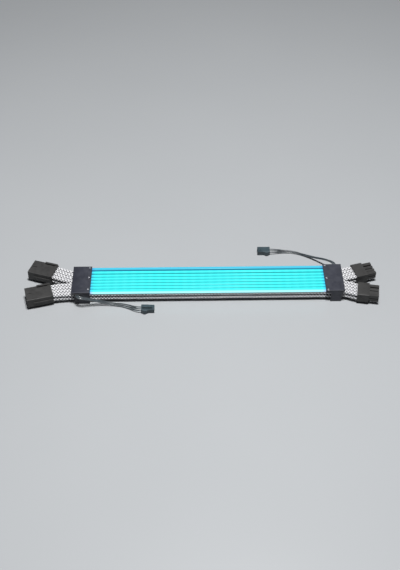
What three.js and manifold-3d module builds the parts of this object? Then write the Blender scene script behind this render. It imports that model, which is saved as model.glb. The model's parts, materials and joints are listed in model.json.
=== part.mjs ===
// Lit power extension lead for a computer graphics card.
// Sixteen sleeved wires in two layers run from two eight-way receptacles (left) to two
// eight-way plugs (right). Eight frosted light guides lie on the wires between two end
// blocks, and a three-wire data lead leaves each block for the light signal.
// Millimetres, +X from receptacles to plugs, +Y to the rear, +Z up. The origin is the
// bottom centre of everything except the data leads.
import * as THREE from "three";
import { mergeVertices } from "three/addons/utils/BufferGeometryUtils.js";
import Module from "manifold-3d";

const wasm = await Module();
wasm.setup();

// ---------------------------------------------------------------- driving dimensions

const WAYS = 4; // contacts in each row of a power connector
const COLUMNS = 8; // wires side by side in each layer
const CONTACT_PITCH = 4.2; // contact spacing in a power connector, both ways
const WIRE_PITCH = 4.35; // wire spacing in the end blocks
const ROWS = { lower: -CONTACT_PITCH / 2, upper: CONTACT_PITCH / 2 };
const CONNECTOR_LEVEL = 7.6; // height of a power connector's middle
const LAYERS = { lower: 4.8, upper: 9.3 }; // heights of the wires in the end blocks
const SPLIT = (LAYERS.lower + LAYERS.upper) / 2;
const SLEEVE_RADIUS = 1.95;
const NECK_RADIUS = 1.6; // sleeve end, shrunk to enter a housing
const WIRE_SIDES = 8;

const LIT_HALF = 113; // half the length of the light guides that shows
const BLOCK_INNER = 113.4; // inner end of an end block, from the middle
const BLOCK_OUTER = 131.3;
const CLAMP_OUTER = 128.6; // outer end of the base and yoke, under the lid's lip
const BASE_INNER = 118.1;
const WING_INNER = 114; // the wall on the lead's side reaches further in
const BLOCK_HALF_WIDTH = 18.8;
const WALL = 1.5;
const WING_SIDE = [BLOCK_HALF_WIDTH - WALL + 0.1, BLOCK_HALF_WIDTH];
const SPLIT_GAP = 0.3; // between base and yoke
const GROOVE_RADIUS = 2.05;
const POCKET_FLOOR = 11.6; // over the upper wires' grooves
const SHELF_BOTTOM = 10.9; // the yoke's shelf under the lid's inner end
const LID_BOTTOM = 13.3;
const LID_TOP = 14.6;
const POCKET_INNER = 119.2;
const EDGE = 0.5; // chamfer on moulded outer edges

// The guides lie close together, except for the rearmost, which has shifted a little.
const GUIDE_ROWS = [-15.2, -11.05, -6.9, -2.7, 1.5, 5.7, 10.35, 15.5];
const GUIDE_WIDTH = 3.95;
const GUIDE_BOTTOM = 11.4;
const GUIDE_SHOULDER = 13.3; // where the guide's rounded top starts
const GUIDE_TOP = 14.4;
const TONGUE_WIDTH = 2.4;
const TONGUE = { bottom: 12.3, top: 13.1, end: 118.8 };
const CHANNEL_WIDTH = 3.0;
const CHANNEL_TOP = 12.8;
const CHANNEL_HALF = 111.5;
const STRIP = { width: 2.4, bottom: 11.8, top: 12.05, half: 121, bar: 1.6 };
const END_BOARD = { inner: 119.6, outer: 127.4, halfWidth: 15.6, bottom: 12.35, top: 12.95 };

const SCREW = { x: 115.4, radius: 0.5, headRadius: 1.1, headHeight: 0.65, tip: 11.1, hole: 0.62 };
const SCREW_ROWS = { left: [-13.12, 3.6, 17.25], right: [-17.25, -0.6, 17.25] };
const SCREW_NAMES = ["front", "middle", "rear"];

const HOUSING = { halfWidth: 9, halfHeight: 4.8 };
const CAVITY = 3.6; // square hole that a terminal and wire enter
const THROAT = 2.6; // square hole round a terminal's box
const PLUG = { shoulder: 11.2, end: 20.5, tower: 3.35, mouth: 1.7, slotStart: 11.9 };
const RECEPTACLE = { floor: 12.5, cellStart: 14.1, end: 25.2, cell: 3.75 };
const KEY_CHAMFER = 0.8;
const KEYED = { lower: [true, false, true, false], upper: [false, true, true, false] };
const LATCH = { halfWidth: 3, pivotX: 10, pivotZ: -6 };
// The latch's side view, from its rear end underneath: X and Z from the housing's rear.
const LATCH_OUTLINE = [
  [0.8, -6.9], [4.8, -6.9], [8.4, -6.5], [19.3, -6.5], [19.3, -5.4], [18.3, -4.5],
  [17.6, -4.5], [17.6, -5.5], [8, -5.5], [4.4, -6], [0.8, -6.2],
];
const LATCH_RIBS = { x: [1.1, 2.5, 3.9], width: 0.7, bottom: -7.25 };
const CATCH = { rear: 17.6, front: 20.8, halfWidth: 2.6, bottom: -6.3 };

// Each connector's rear face centre, and the direction that it points, in degrees.
const CONNECTORS = {
  rear_receptacle: { x: -149.8, y: 14.9, turn: 161.5, first: 4 },
  front_receptacle: { x: -150.5, y: -11.2, turn: 195, first: 0 },
  rear_plug: { x: 143.7, y: 11.2, turn: 15.5, first: 4 },
  front_plug: { x: 144.3, y: -13.3, turn: -10, first: 0 },
};

const DATA = { wireRadius: 0.5, pitch: 2.5, exitPitch: 1.3, exitX: 125.4, level: 12.3, sides: 8 };
const DATA_BODY = { length: 6.8, halfWidth: 4, height: 4.9, wireZ: 2.6 };
// A half-round grip that stands out of the body's side, towards the front of the cable.
const DATA_GRIP = { x: 3.4, radius: 3, reach: 1.3, bottom: 0.3, top: 4.6 };
const DATA_NOSE = { end: 12.6, halfWidth: 3.4, bottom: 0.5, top: 4.7 };
const DATA_LATCH = { rear: 0.7, front: 10.8, halfWidth: 1.7, bottom: 5.5, top: 6.3, pivotX: 6 };
const DATA_PLACES = {
  input: { x: -64.2, y: -29, turn: 0 },
  output: { x: 64.2, y: 52.8, turn: 180 },
};

// The middle wire of each data lead, from inside its end block to its connector.
// The front lead falls to the floor beside the wires; the rear lead swings out behind.
const DATA_ROUTES = {
  input: [
    [-125.4, -16.6, 12.3], [-125.4, -18.4, 12.3], [-125.4, -20.0, 12.3],
    [-124.4, -21.9, 12.1], [-122.0, -22.8, 11.6], [-118.8, -22.6, 10.7],
    [-114.6, -22.0, 9.2], [-109.6, -21.2, 7.1], [-104.4, -20.6, 5.0],
    [-99.2, -20.3, 3.1], [-93.8, -20.4, 1.6], [-88.4, -20.8, 0.75],
    [-83.0, -21.7, 0.6], [-77.8, -23.5, 0.65], [-72.8, -26.0, 1.3],
    [-68.6, -28.2, 2.2], [-65.6, -29.0, 2.6], [-62.6, -29.0, 2.6],
  ],
  output: [
    [125.4, 16.6, 12.3], [125.4, 18.4, 12.3], [125.4, 20.4, 12.3],
    [124.6, 23.4, 11.9], [122.6, 26.8, 10.9], [119.4, 30.4, 9.3],
    [115.6, 34.2, 7.3], [111.2, 38.2, 5.0], [106.4, 42.2, 3.0],
    [101.2, 46.0, 1.6], [95.6, 49.4, 0.75], [89.6, 52.0, 0.6],
    [83.4, 53.4, 0.6], [77.4, 53.8, 0.7], [72.2, 53.4, 1.5],
    [68.4, 53.0, 2.3], [65.6, 52.8, 2.6], [62.6, 52.8, 2.6],
  ],
};
const DATA_CONTACTS = 3;
// Whether a lead's wires are tied into a round bundle, and how close they then lie.
const DATA_BUNDLE = { input: 0, output: 1, gap: 0.55, lift: 0.95 };

// ---------------------------------------------------------------- materials

const plastic = (color, roughness) =>
  new THREE.MeshStandardMaterial({ color, roughness, metalness: 0 });
const MATERIALS = {
  sleeve: plastic(0xe9eaee, 0.8),
  blockShell: plastic(0x2b2c31, 0.55),
  connector: plastic(0x26272a, 0.6),
  guide: new THREE.MeshStandardMaterial({
    color: 0x3ff6ff, emissive: 0x1fd8f0, roughness: 0.35, metalness: 0,
  }),
  board: plastic(0xe8ece8, 0.5),
  screw: new THREE.MeshStandardMaterial({ color: 0xb9bcc2, roughness: 0.3, metalness: 1 }),
  dataWire: plastic(0x3a4149, 0.5),
  dataConnector: plastic(0x33383d, 0.5),
  grommet: plastic(0x1b1c1e, 0.8),
};

// ---------------------------------------------------------------- solids

// A closed three.js geometry as a manifold-3d solid.
function solid(geometry) {
  const bare = geometry.clone();
  for (const name of ["normal", "uv"]) bare.deleteAttribute(name);
  const merged = mergeVertices(bare, 1e-4);
  return new wasm.Manifold(
    new wasm.Mesh({
      numProp: 3,
      vertProperties: new Float32Array(merged.attributes.position.array),
      triVerts: new Uint32Array(merged.index.array),
    }),
  );
}

function geometryOf(body) {
  const mesh = body.getMesh();
  const geometry = new THREE.BufferGeometry();
  geometry.setAttribute("position", new THREE.BufferAttribute(mesh.vertProperties, 3));
  geometry.setIndex(new THREE.BufferAttribute(mesh.triVerts, 1));
  geometry.computeVertexNormals();
  return geometry;
}

const union = (bodies) => bodies.reduce((sum, body) => sum.add(body));
const cut = (body, tools) => tools.reduce((rest, tool) => rest.subtract(tool), body);

// A box between two values on each axis.
function box([x0, x1], [y0, y1], [z0, z1]) {
  const shape = new THREE.BoxGeometry(x1 - x0, y1 - y0, z1 - z0);
  return solid(shape.translate((x0 + x1) / 2, (y0 + y1) / 2, (z0 + z1) / 2));
}

// A box that lies across the X axis, the same amount to each side.
const centred = (x, half, z) => box(x, [-half, half], z);

// A polygon in the YZ plane, pushed along X.
function prism(outline, [x0, x1]) {
  const shape = new THREE.Shape(outline.map(([y, z]) => new THREE.Vector2(y, z)));
  const pushed = new THREE.ExtrudeGeometry(shape, { depth: x1 - x0, bevelEnabled: false });
  // The shape's own X, Y and push direction become the part's Y, Z and X.
  const axes = new THREE.Matrix4().set(0, 0, 1, x0, 1, 0, 0, 0, 0, 1, 0, 0, 0, 0, 0, 1);
  return solid(pushed.applyMatrix4(axes));
}

// A side view in the XZ plane, as thick as it is wide across Y, the same to each side.
function profile(outline, half) {
  const shape = new THREE.Shape(outline.map(([x, z]) => new THREE.Vector2(x, z)));
  const pushed = new THREE.ExtrudeGeometry(shape, { depth: 2 * half, bevelEnabled: false });
  // The shape stands up on the XZ plane, and its push direction becomes the part's -Y.
  return solid(pushed.rotateX(Math.PI / 2).translate(0, half, 0));
}

// A rectangle's corners, cut off by a chamfer.
function chamfered([y0, y1], [z0, z1], c) {
  return [
    [y0 + c, z0], [y1 - c, z0], [y1, z0 + c], [y1, z1 - c],
    [y1 - c, z1], [y0 + c, z1], [y0, z1 - c], [y0, z0 + c],
  ];
}

// A round rod along X, with a radius at each end.
function rodX([x0, x1], y, z, r0, r1 = r0, sides = 10) {
  const rod = new THREE.CylinderGeometry(r1, r0, x1 - x0, sides);
  rod.rotateZ(-Math.PI / 2).translate((x0 + x1) / 2, y, z);
  return solid(rod);
}

// A round rod along Z.
function rodZ(x, y, [z0, z1], radius, sides = 12) {
  const rod = new THREE.CylinderGeometry(radius, radius, z1 - z0, sides);
  rod.rotateX(Math.PI / 2).translate(x, y, (z0 + z1) / 2);
  return solid(rod);
}

const columnY = (column) => (column - (COLUMNS - 1) / 2) * WIRE_PITCH;
const contactY = (way) => (way - (WAYS - 1) / 2) * CONTACT_PITCH;
const everyContact = (make) =>
  Object.entries(ROWS).flatMap(([layer, z]) =>
    [...Array(WAYS).keys()].map((way) => make(contactY(way), z, KEYED[layer][way])),
  );

// A square section round one contact; a keyed one loses its two outer corners.
function keyedSection(y, z, size, keyed) {
  const half = size / 2;
  const c = keyed ? KEY_CHAMFER : 0;
  const outer = Math.sign(z) * half;
  const points = keyed
    ? [[-half, -outer], [half, -outer], [half, outer - Math.sign(z) * c],
       [half - c, outer], [-half + c, outer], [-half, outer - Math.sign(z) * c]]
    : [[-half, -outer], [half, -outer], [half, outer], [-half, outer]];
  return points.map(([dy, dz]) => [y + dy, z + dz]);
}

// ---------------------------------------------------------------- the assembly

const lead = new THREE.Group();
const dataParts = new Set();

function addPart(parent, name, body, material) {
  const mesh = new THREE.Mesh(geometryOf(body), material);
  mesh.name = name;
  parent.add(mesh);
  return mesh;
}

// ---------------------------------------------------------------- power connectors

function plugHousing() {
  const rim = chamfered(
    [-HOUSING.halfWidth, HOUSING.halfWidth], [-HOUSING.halfHeight, HOUSING.halfHeight], EDGE,
  );
  const pedestal = centred([LATCH.pivotX - 0.6, LATCH.pivotX + 0.6], 2, [-5.35, -4.5]);
  const towers = everyContact((y, z, keyed) =>
    prism(keyedSection(y, z, PLUG.tower, keyed), [PLUG.shoulder - 0.5, PLUG.end]),
  );
  const root = centred(
    [PLUG.shoulder - 0.5, PLUG.slotStart],
    contactY(WAYS - 1) + PLUG.tower / 2, [-CONTACT_PITCH / 2 - 1.2, CONTACT_PITCH / 2 + 1.2],
  );
  const holes = everyContact((y, z) =>
    union([
      box([-1, PLUG.shoulder - 0.4], [y - CAVITY / 2, y + CAVITY / 2], [z - CAVITY / 2, z + CAVITY / 2]),
      box([PLUG.shoulder - 1, 19.3], [y - THROAT / 2, y + THROAT / 2], [z - THROAT / 2, z + THROAT / 2]),
      box(
        [19, PLUG.end + 1],
        [y - PLUG.mouth / 2, y + PLUG.mouth / 2],
        [z - PLUG.mouth / 2, z + PLUG.mouth / 2],
      ),
    ]),
  );
  return cut(union([prism(rim, [0, PLUG.shoulder]), pedestal, root, ...towers]), holes);
}

// A rocking latch under a plug: press the ribbed rear end up and the hook drops clear.
function plugLatch() {
  const ribs = LATCH_RIBS.x.map((x) =>
    centred([x, x + LATCH_RIBS.width], LATCH.halfWidth, [LATCH_RIBS.bottom, -6.6]),
  );
  return union([profile(LATCH_OUTLINE, LATCH.halfWidth), ...ribs]);
}

function receptacleHousing() {
  const rim = chamfered(
    [-HOUSING.halfWidth, HOUSING.halfWidth], [-HOUSING.halfHeight, HOUSING.halfHeight], EDGE,
  );
  const body = prism(rim, [0, RECEPTACLE.end]);
  const sideRibs = [-1, 1].map((side) => {
    const y = [side * (HOUSING.halfWidth - 0.4), side * (HOUSING.halfWidth + 0.7)];
    return box([1.5, 19], y.sort((a, b) => a - b), [-0.7, 0.7]);
  });
  // The long rib on top keeps a housing from entering a panel the wrong way round.
  const topRib = box([0.6, 13.4], [-9, -6.9], [HOUSING.halfHeight - 0.5, HOUSING.halfHeight + 1]);
  const catchRamp = prism(
    chamfered([-CATCH.halfWidth, CATCH.halfWidth], [CATCH.bottom, -HOUSING.halfHeight + 1], 0.3),
    [CATCH.rear, CATCH.front],
  );
  const holes = everyContact((y, z, keyed) =>
    union([
      box([-1, RECEPTACLE.floor], [y - CAVITY / 2, y + CAVITY / 2], [z - CAVITY / 2, z + CAVITY / 2]),
      box(
        [12, RECEPTACLE.cellStart + 0.5],
        [y - THROAT / 2, y + THROAT / 2],
        [z - THROAT / 2, z + THROAT / 2],
      ),
      prism(keyedSection(y, z, RECEPTACLE.cell, keyed), [RECEPTACLE.cellStart, RECEPTACLE.end + 1]),
    ]),
  );
  return cut(union([body, ...sideRibs, topRib, catchRamp]), holes);
}

// Puts a connector's group at its rear face, pointing the way it mates.
function connectorGroup(place, level) {
  const group = new THREE.Group();
  group.position.set(place.x, place.y, level);
  group.rotation.z = THREE.MathUtils.degToRad(place.turn);
  group.updateMatrix();
  return group;
}

const connectorGroups = {};
for (const [name, place] of Object.entries(CONNECTORS)) {
  const group = connectorGroup(place, CONNECTOR_LEVEL);
  connectorGroups[name] = group;
  lead.add(group);
  if (name.endsWith("plug")) {
    addPart(group, `${name}_housing`, plugHousing(), MATERIALS.connector);
    addPart(group, `${name}_latch`, plugLatch(), MATERIALS.connector);
  } else {
    addPart(group, `${name}_housing`, receptacleHousing(), MATERIALS.connector);
  }
}

// ---------------------------------------------------------------- power wires

// A curve made of legs, each with its own number of steps, so that the steps are spent
// where the wire bends and not on its long straight run.
class SteppedRoute extends THREE.Curve {
  constructor(legs) {
    super();
    this.legs = legs;
    this.steps = legs.reduce((sum, leg) => sum + leg.steps, 0);
  }
  getPoint(t, target = new THREE.Vector3()) {
    let at = THREE.MathUtils.clamp(t, 0, 1) * this.steps;
    for (const leg of this.legs) {
      if (at <= leg.steps || leg === this.legs.at(-1)) {
        return leg.curve.getPoint(Math.min(at / leg.steps, 1), target);
      }
      at -= leg.steps;
    }
    return target;
  }
  getPointAt(u, target) {
    return this.getPoint(u, target);
  }
  getTangentAt(u, target) {
    return this.getTangent(u, target);
  }
}

function tubeAlong(route, radius, sides) {
  const ring = [...Array(sides).keys()].map((i) => {
    const angle = ((i + 0.5) / sides) * 2 * Math.PI;
    return new THREE.Vector2(radius * Math.cos(angle), radius * Math.sin(angle));
  });
  return solid(
    new THREE.ExtrudeGeometry(new THREE.Shape(ring), {
      steps: route.steps, extrudePath: route, bevelEnabled: false,
    }),
  );
}

// Where a column's wire meets a connector: its local Y, and which way it heads.
function contactPlace(name, column, z) {
  const group = connectorGroups[name];
  const towardsRear = Math.cos(group.rotation.z) > 0 ? 1 : -1;
  const y = towardsRear * contactY(column - CONNECTORS[name].first);
  const at = new THREE.Vector3(-SLEEVE_START, y, z).applyMatrix4(group.matrix);
  const out = new THREE.Vector3(-1, 0, 0).transformDirection(group.matrix);
  return { group, y, at, out };
}
const SLEEVE_START = 0.6; // full-size sleeve starts this far behind a housing

// What is inside a housing: the shrunk sleeve end and the terminal crimped to its wire.
function wireEnd({ group, y }, z, isPin) {
  const neck = rodX([-SLEEVE_START - 0.1, 2.5], y, z, NECK_RADIUS, NECK_RADIUS, WIRE_SIDES);
  const crimp = box([2.3, 6.7], [y - 0.9, y + 0.9], [z - 0.9, z + 0.9]);
  const terminal = box([6.5, isPin ? 13.6 : 18.3], [y - 1.1, y + 1.1], [z - 1.1, z + 1.1]);
  const pin = isPin ? [rodX([13.4, 22.6], y, z, 0.6, 0.45, 6)] : [];
  const body = union([neck, crimp, terminal, ...pin]);
  return body.transform(group.matrix.elements);
}

const BEND_STEPS = 5;
const BEND_PULL = 0.22; // how far each bend's handles reach, as a share of its span

function powerWire(column, layer) {
  const z = ROWS[layer];
  const end = column < WAYS ? "front" : "rear";
  const left = contactPlace(`${end}_receptacle`, column, z);
  const right = contactPlace(`${end}_plug`, column, z);
  const leftBlock = new THREE.Vector3(-BLOCK_OUTER, columnY(column), LAYERS[layer]);
  const rightBlock = new THREE.Vector3(BLOCK_OUTER, columnY(column), LAYERS[layer]);
  const bend = (from, fromWay, to, toWay) => {
    const pull = BEND_PULL * from.distanceTo(to);
    return new THREE.CubicBezierCurve3(
      from, from.clone().addScaledVector(fromWay, pull),
      to.clone().addScaledVector(toWay, pull), to,
    );
  };
  const alongX = new THREE.Vector3(1, 0, 0);
  const route = new SteppedRoute([
    { curve: bend(left.at, left.out, leftBlock, alongX.clone().negate()), steps: BEND_STEPS },
    { curve: new THREE.LineCurve3(leftBlock, rightBlock), steps: 1 },
    { curve: bend(rightBlock, alongX, right.at, right.out), steps: BEND_STEPS },
  ]);
  return union([
    tubeAlong(route, SLEEVE_RADIUS, WIRE_SIDES),
    wireEnd(left, z, true),
    wireEnd(right, z, false),
  ]);
}

for (const layer of Object.keys(LAYERS)) {
  for (let column = 0; column < COLUMNS; column += 1) {
    addPart(lead, `${layer}_wire_${column + 1}`, powerWire(column, layer), MATERIALS.sleeve);
  }
}

// ---------------------------------------------------------------- light guides and strip

// A frosted bar, hollow underneath for the light strip, with a tongue at each end.
function lightGuide() {
  const w = GUIDE_WIDTH / 2;
  const outline = [
    [-w, GUIDE_BOTTOM], [w, GUIDE_BOTTOM], [w, GUIDE_SHOULDER], [w * 0.88, GUIDE_SHOULDER + 0.55],
    [w * 0.55, GUIDE_TOP - 0.12], [0, GUIDE_TOP], [-w * 0.55, GUIDE_TOP - 0.12],
    [-w * 0.88, GUIDE_SHOULDER + 0.55], [-w, GUIDE_SHOULDER],
  ];
  const bar = prism(outline, [-LIT_HALF, LIT_HALF]);
  const channel = centred(
    [-CHANNEL_HALF, CHANNEL_HALF], CHANNEL_WIDTH / 2, [GUIDE_BOTTOM - 1, CHANNEL_TOP],
  );
  const stripSlot = centred(
    [-LIT_HALF - 1, LIT_HALF + 1], CHANNEL_WIDTH / 2, [GUIDE_BOTTOM - 1, TONGUE.bottom],
  );
  const tongues = [-1, 1].map((end) => {
    const x = [end * (LIT_HALF - 1), end * TONGUE.end].sort((a, b) => a - b);
    return centred(x, TONGUE_WIDTH / 2, [TONGUE.bottom, TONGUE.top]);
  });
  return union([cut(bar, [channel, stripSlot]), ...tongues]);
}

GUIDE_ROWS.forEach((y, i) => {
  addPart(lead, `light_guide_${i + 1}`, lightGuide(), MATERIALS.guide).position.y = y;
});

// One flexible board: a finger under each guide, joined by a bar in each end block.
function ledStrip() {
  const thick = [STRIP.bottom, STRIP.top];
  const half = STRIP.width / 2;
  const span = [GUIDE_ROWS[0] - half, GUIDE_ROWS.at(-1) + half];
  const fingers = GUIDE_ROWS.map((y) => box([-STRIP.half, STRIP.half], [y - half, y + half], thick));
  const bars = [-1, 1].map((end) => {
    const x = [end * STRIP.half, end * (STRIP.half - STRIP.bar)].sort((a, b) => a - b);
    return box(x, span, thick);
  });
  return union([...fingers, ...bars]);
}
addPart(lead, "led_strip", ledStrip(), MATERIALS.board);

// ---------------------------------------------------------------- end blocks

const wireTools = (z) =>
  [...Array(COLUMNS).keys()].map((column) =>
    rodX([BLOCK_INNER - 5, BLOCK_OUTER + 5], columnY(column), z, GROOVE_RADIUS),
  );

// The slot in the yoke's rear wall that the data lead's grommet fills.
const LEAD_SLOT = { x: [DATA.exitX - 2.9, DATA.exitX + 2.9], z: [10.4, LID_BOTTOM] };

// Lower half: grooves for the lower wires, open upwards.
function blockBase() {
  const top = SPLIT - SPLIT_GAP / 2;
  const sides = [-BLOCK_HALF_WIDTH, BLOCK_HALF_WIDTH];
  const body = prism(chamfered(sides, [0, top + EDGE], EDGE), [BASE_INNER, CLAMP_OUTER]);
  const wing = box([WING_INNER, BASE_INNER + 1], WING_SIDE, [EDGE, top]);
  const above = box([BASE_INNER - 9, CLAMP_OUTER + 1], [-30, 30], [top, top + 5]);
  return cut(union([body, wing]), [...wireTools(LAYERS.lower), above]);
}

// Upper half: grooves for the upper wires, slots for the guides' tongues, a pocket for
// the end board, and holes for the lid's screws.
function blockYoke(guideRows, screwRows) {
  const bottom = SPLIT + SPLIT_GAP / 2;
  const top = LID_BOTTOM - 0.1;
  const body = centred([BASE_INNER, CLAMP_OUTER], BLOCK_HALF_WIDTH, [bottom, top]);
  const shelf = centred([BLOCK_INNER, BASE_INNER + 1], BLOCK_HALF_WIDTH, [SHELF_BOTTOM, top]);
  const wing = box([WING_INNER, BASE_INNER + 1], WING_SIDE, [bottom, top]);
  const half = STRIP.width / 2 + 0.12;
  const slots = guideRows.map((y) =>
    box([BLOCK_INNER - 1, POCKET_INNER + 1], [y - half, y + half], [POCKET_FLOOR, top + 1]),
  );
  const pocketHalf = BLOCK_HALF_WIDTH - WALL - 0.4;
  const pocket = centred([POCKET_INNER, CLAMP_OUTER - 0.8], pocketHalf, [POCKET_FLOOR, top + 1]);
  const leadSides = [BLOCK_HALF_WIDTH - 1.35, BLOCK_HALF_WIDTH + 1];
  const leadSlot = box(LEAD_SLOT.x, leadSides, [LEAD_SLOT.z[0], top + 1]);
  const leadWay = box(LEAD_SLOT.x, [pocketHalf - 1, BLOCK_HALF_WIDTH], [POCKET_FLOOR, top + 1]);
  const screwHoles = screwRows.map((y) => rodZ(SCREW.x, y, [SCREW.tip - 0.1, top + 1], SCREW.hole, 8));
  const wires = wireTools(LAYERS.upper);
  return cut(union([body, shelf, wing]), [...wires, ...slots, pocket, leadSlot, leadWay, ...screwHoles]);
}

// Lid over the board and the tongues, held down by screws along its inner edge.
function blockLid(screwRows) {
  const sides = [-BLOCK_HALF_WIDTH, BLOCK_HALF_WIDTH];
  const body = prism(
    [[sides[0], LID_BOTTOM], [sides[1], LID_BOTTOM], [sides[1], LID_TOP - EDGE],
     [sides[1] - EDGE, LID_TOP], [sides[0] + EDGE, LID_TOP], [sides[0], LID_TOP - EDGE]],
    [BLOCK_INNER - 0.1, BLOCK_OUTER],
  );
  // A lip hangs over the clamp's outer end, above the upper wires.
  const lip = centred([CLAMP_OUTER + 0.3, BLOCK_OUTER], BLOCK_HALF_WIDTH - EDGE, [12, LID_BOTTOM + 0.2]);
  const holes = screwRows.flatMap((y) => [
    rodZ(SCREW.x, y, [LID_BOTTOM - 1, LID_TOP + 1], SCREW.hole, 8),
    rodZ(SCREW.x, y, [LID_TOP - 0.65, LID_TOP + 1], SCREW.headRadius + 0.15),
  ]);
  return cut(union([body, lip]), holes);
}

function endBoard() {
  return centred(
    [END_BOARD.inner, END_BOARD.outer], END_BOARD.halfWidth, [END_BOARD.bottom, END_BOARD.top],
  );
}

function lidScrew(y) {
  const seat = LID_TOP - 0.55;
  const head = rodZ(SCREW.x, y, [seat, seat + SCREW.headHeight], SCREW.headRadius);
  const shank = rodZ(SCREW.x, y, [SCREW.tip, seat + 0.2], SCREW.radius, 8);
  const cross = [[0.8, 0.14], [0.14, 0.8]].map(([halfX, halfY]) =>
    box([SCREW.x - halfX, SCREW.x + halfX], [y - halfY, y + halfY],
        [seat + SCREW.headHeight - 0.35, seat + 1]),
  );
  return cut(union([head, shank]), cross);
}

// A soft bush in the lead slot, with a hole for each data wire.
function leadGrommet() {
  const bush = box(
    [LEAD_SLOT.x[0] + 0.1, LEAD_SLOT.x[1] - 0.1],
    [BLOCK_HALF_WIDTH - 1.2, BLOCK_HALF_WIDTH + 0.9],
    [LEAD_SLOT.z[0] + 0.1, LEAD_SLOT.z[1] - 0.1],
  );
  const holes = [-1, 0, 1].map((i) => {
    const hole = new THREE.CylinderGeometry(0.6, 0.6, 9, 8);
    return solid(hole.translate(DATA.exitX + i * DATA.exitPitch, BLOCK_HALF_WIDTH, DATA.level));
  });
  return cut(bush, holes);
}

// An end block is made for the right end; the left one is the same, turned half round.
function addBlock(side) {
  const group = new THREE.Group();
  const turned = side === "left";
  group.rotation.z = turned ? Math.PI : 0;
  lead.add(group);
  const rows = SCREW_ROWS[side].map((y) => (turned ? -y : y));
  const guideRows = GUIDE_ROWS.map((y) => (turned ? -y : y));
  addPart(group, `${side}_block_base`, blockBase(), MATERIALS.blockShell);
  addPart(group, `${side}_block_yoke`, blockYoke(guideRows, rows), MATERIALS.blockShell);
  addPart(group, `${side}_block_lid`, blockLid(rows), MATERIALS.blockShell);
  addPart(group, `${side}_end_board`, endBoard(), MATERIALS.board);
  addPart(group, `${side}_lead_grommet`, leadGrommet(), MATERIALS.grommet);
  rows.forEach((y, i) =>
    addPart(group, `${side}_lid_screw_${SCREW_NAMES[i]}`, lidScrew(y), MATERIALS.screw),
  );
}
addBlock("left");
addBlock("right");

// ---------------------------------------------------------------- data leads

const { lerp, smoothstep } = THREE.MathUtils;
const contactOffset = (i) => i - (DATA_CONTACTS - 1) / 2;

// The wires start close together at the block and spread to the connector's pitch.
function dataWire(lead3, i) {
  const points = DATA_ROUTES[lead3].map((p) => new THREE.Vector3(...p));
  const last = points.length - 1;
  const heading = lead3 === "input" ? 1 : -1;
  const spread = points.map((point, k) => {
    const along = new THREE.Vector3().subVectors(points[Math.min(k + 1, last)], points[Math.max(k - 1, 0)]);
    const side = new THREE.Vector3(-along.y, along.x, 0).normalize();
    const tied = DATA_BUNDLE[lead3] * smoothstep(k, 2, 6) * (1 - smoothstep(k, 10, 15));
    const close = lerp(DATA.exitPitch, DATA_BUNDLE.gap, tied);
    const gap = lerp(close, DATA.pitch, smoothstep(k, 7, last - 1));
    const place = point.clone().addScaledVector(side, heading * contactOffset(i) * gap);
    if (contactOffset(i) === 0) place.z += DATA_BUNDLE.lift * tied;
    return place;
  });
  const curve = new THREE.CatmullRomCurve3(spread, false, "centripetal");
  curve.steps = 22;
  return tubeAlong(curve, DATA.wireRadius, DATA.sides);
}

const dataHoles = () =>
  [...Array(DATA_CONTACTS).keys()].map((i) => {
    const y = contactOffset(i) * DATA.pitch;
    return box([-1, 6], [y - 0.85, y + 0.85], [DATA_BODY.wireZ - 0.85, DATA_BODY.wireZ + 0.85]);
  });

function dataBody(gripSide) {
  const w = DATA_BODY.halfWidth;
  const body = prism(chamfered([-w, w], [0, DATA_BODY.height], 0.4), [0, DATA_BODY.length]);
  const y = gripSide * (w + DATA_GRIP.reach - DATA_GRIP.radius);
  return union([body, rodZ(DATA_GRIP.x, y, [DATA_GRIP.bottom, DATA_GRIP.top], DATA_GRIP.radius, 24)]);
}

// Socket on the lead that brings the signal in: three holes in a solid nose.
function dataSocket() {
  const nose = centred([DATA_BODY.length - 1, DATA_NOSE.end], DATA_NOSE.halfWidth,
    [DATA_NOSE.bottom, DATA_NOSE.top]);
  const pedestal = centred([DATA_LATCH.pivotX - 0.5, DATA_LATCH.pivotX + 0.5], 1.3, [4.5, 5.3]);
  const mouths = [-1, 0, 1].map((i) => {
    const y = i * DATA.pitch;
    return box([5, DATA_NOSE.end + 1], [y - 0.5, y + 0.5], [DATA_BODY.wireZ - 0.5, DATA_BODY.wireZ + 0.5]);
  });
  return cut(union([dataBody(-1), nose, pedestal]), [...dataHoles(), ...mouths]);
}

// Plug on the lead that passes the signal on: a shroud with a catch for the next latch.
function dataPlug() {
  const nose = centred([DATA_BODY.length - 1, DATA_NOSE.end], DATA_NOSE.halfWidth + 0.4,
    [DATA_NOSE.bottom - 0.3, DATA_NOSE.top + 0.1]);
  const hollow = centred([DATA_BODY.length + 1, DATA_NOSE.end + 1], DATA_NOSE.halfWidth - 0.2,
    [DATA_NOSE.bottom + 0.3, DATA_NOSE.top - 0.5]);
  const catchRib = centred([9.4, 10.6], 1.6, [DATA_NOSE.top - 0.2, DATA_NOSE.top + 0.9]);
  const throats = [-1, 0, 1].map((i) => {
    const y = i * DATA.pitch;
    return box([5, 9], [y - 0.45, y + 0.45], [DATA_BODY.wireZ - 0.45, DATA_BODY.wireZ + 0.45]);
  });
  return cut(union([dataBody(1), nose, catchRib]), [hollow, ...dataHoles(), ...throats]);
}

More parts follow.
